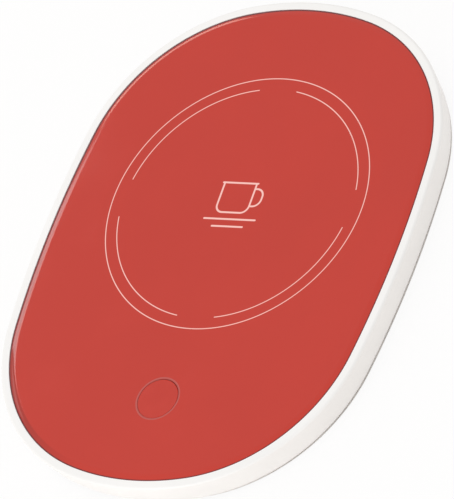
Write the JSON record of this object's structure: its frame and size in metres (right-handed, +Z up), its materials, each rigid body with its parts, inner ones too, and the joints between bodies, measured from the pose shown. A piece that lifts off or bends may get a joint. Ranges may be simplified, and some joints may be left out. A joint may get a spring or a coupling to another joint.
{
  "type": "electric mug warmer",
  "caption": "Flat oval electric mug warmer: back-painted glass top with a heated ring zone and a flush push button, in a tapered white housing on rubber feet.",
  "frame": {"origin": "middle of the oval body in plan, on the surface that the feet stand on", "axes": "+Y along the body, from the button end towards the heated ring and the power inlet; +X to the right seen from the button end; +Z up, out of the glass"},
  "size_m": [0.1324, 0.175, 0.0115],
  "materials": {
    "housing": "fine satin moulded",
    "base": "fine textured moulded",
    "glass": "clear toughened glass, painted on the back",
    "button": "gloss",
    "tape": "foam tape",
    "heat_plate": "mill",
    "element": "amber film",
    "insulation": "fibre felt",
    "steel": "zinc plated",
    "board": "solder mask",
    "chip": "moulded epoxy",
    "capacitor": "satin",
    "ceramic": "satin",
    "contact": "gold plated",
    "silicone": "satin",
    "feet": "matt",
    "lead": "silicone sleeved",
    "sensor_lead": "enamelled"
  },
  "bodies": {
    "body": {"upper_housing": "housing", "base_cover": "base", "glass_panel": "glass", "glass_tape": "tape", "heat_plate": "heat_plate", "heating_element": "element", "insulation_pad": "insulation", "heater_bracket": "steel", "bracket_screws": "steel", "temperature_sensor": "chip", "sensor_pad": "silicone", "thermal_fuse": "ceramic", "control_board": "board", "controller_chip": "chip", "power_transistor": "chip", "voltage_regulator": "chip", "chip_capacitors": "capacitor", "chip_resistors": "chip", "switch_body": "chip", "switch_cover": "steel", "switch_dome": "contact", "switch_terminals": "steel", "inlet_board": "board", "inlet_shell": "steel", "inlet_insulator": "chip", "inlet_contacts": "contact", "board_screws": "steel", "housing_screws": "steel", "foot_front_left": "feet", "foot_front_right": "feet", "foot_rear_left": "feet", "foot_rear_right": "feet", "power_leads": "lead", "heater_leads": "lead", "sensor_leads": "sensor_lead"},
    "button": {"button_cap": "button"},
    "plunger": {"switch_plunger": "chip"}
  },
  "joints": [
    {"name": "button_press", "type": "slide", "parent": "body", "child": "button", "axis": [0, 0, -1], "range_m": [0, 0.0003], "stiffness_N_per_m": 2500, "springref_m": -0.0001},
    {"name": "plunger_press", "type": "slide", "parent": "body", "child": "plunger", "axis": [0, 0, -1], "range_m": [0, 0.0003], "deforming": ["switch_dome"]}
  ],
  "couplings": [
    {"joint": "plunger_press", "follows": "button_press", "ratio": 1}
  ]
}
